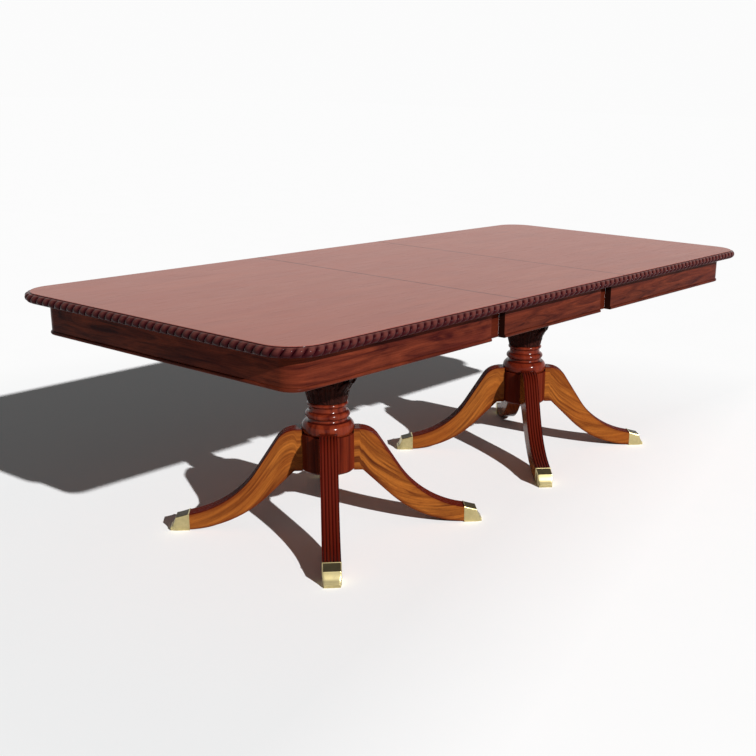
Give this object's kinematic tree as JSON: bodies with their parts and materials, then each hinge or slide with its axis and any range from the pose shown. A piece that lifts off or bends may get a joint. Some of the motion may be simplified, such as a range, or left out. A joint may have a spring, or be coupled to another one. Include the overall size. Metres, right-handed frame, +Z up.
{
  "type": "double pedestal dining table",
  "caption": "Dining table with a carved edge and plain apron on turned pedestals with reeded sabre legs and brass toe caps; the ends slide apart and a loose leaf lifts out.",
  "frame": {"origin": "centre of the table at floor level, under the middle of the leaf", "axes": "+X along the table towards end B, +Y across it towards the back, +Z up"},
  "size_m": [2.4384, 1.1176, 0.762],
  "materials": {
    "polished_top": "polished mahogany veneer",
    "carved_edge": "dark carved mahogany",
    "apron_wood": "polished mahogany",
    "block_wood": "stained hardwood",
    "slide_wood": "waxed beech",
    "carved_wood": "dark carved mahogany",
    "turned_wood": "polished mahogany",
    "leg_wood": "polished mahogany",
    "brass": "polished cast brass",
    "steel": "plain steel"
  },
  "bodies": {
    "end_a": {"top_panel_a": "polished_top", "edge_moulding_a": "carved_edge", "apron_a": "apron_wood", "apron_bead_a": "apron_wood", "corner_blocks_a": "block_wood", "frame_screws_a": "steel", "bearer_a": "block_wood", "capital_a": "carved_wood", "column_a": "turned_wood", "drum_a": "turned_wood", "spider_plate_a": "steel", "spider_screws_a": "steel", "slide_rail_a_front": "slide_wood", "slide_rail_a_back": "slide_wood", "leg_a_1": "leg_wood", "leg_a_2": "leg_wood", "leg_a_3": "leg_wood", "leg_a_4": "leg_wood", "toe_cap_a_1": "brass", "toe_cap_a_2": "brass", "toe_cap_a_3": "brass", "toe_cap_a_4": "brass", "joint_blocks_a": "block_wood"},
    "centre_slides": {"slide_centre_front": "slide_wood", "slide_centre_back": "slide_wood"},
    "end_b": {"top_panel_b": "polished_top", "edge_moulding_b": "carved_edge", "apron_b": "apron_wood", "apron_bead_b": "apron_wood", "corner_blocks_b": "block_wood", "frame_screws_b": "steel", "bearer_b": "block_wood", "capital_b": "carved_wood", "column_b": "turned_wood", "drum_b": "turned_wood", "spider_plate_b": "steel", "spider_screws_b": "steel", "slide_rail_b_front": "slide_wood", "slide_rail_b_back": "slide_wood", "leg_b_1": "leg_wood", "leg_b_2": "leg_wood", "leg_b_3": "leg_wood", "leg_b_4": "leg_wood", "toe_cap_b_1": "brass", "toe_cap_b_2": "brass", "toe_cap_b_3": "brass", "toe_cap_b_4": "brass"},
    "leaf": {"leaf_panel": "polished_top", "leaf_edge_front": "carved_edge", "leaf_edge_back": "carved_edge", "leaf_apron_front": "apron_wood", "leaf_apron_back": "apron_wood", "leaf_bead_front": "apron_wood", "leaf_bead_back": "apron_wood", "leaf_joint_blocks": "block_wood"}
  },
  "joints": [
    {"name": "centre_slide_run", "type": "slide", "parent": "end_a", "child": "centre_slides", "axis": [1, 0, 0], "range_m": [0, 0.05]},
    {"name": "end_b_run", "type": "slide", "parent": "centre_slides", "child": "end_b", "axis": [1, 0, 0], "range_m": [0, 0.05]},
    {"name": "leaf_lift", "type": "slide", "parent": "end_a", "child": "leaf", "axis": [0, 0, 1], "range_m": [0, 0.15]}
  ],
  "couplings": [
    {"joint": "centre_slide_run", "follows": "end_b_run", "ratio": 1}
  ]
}
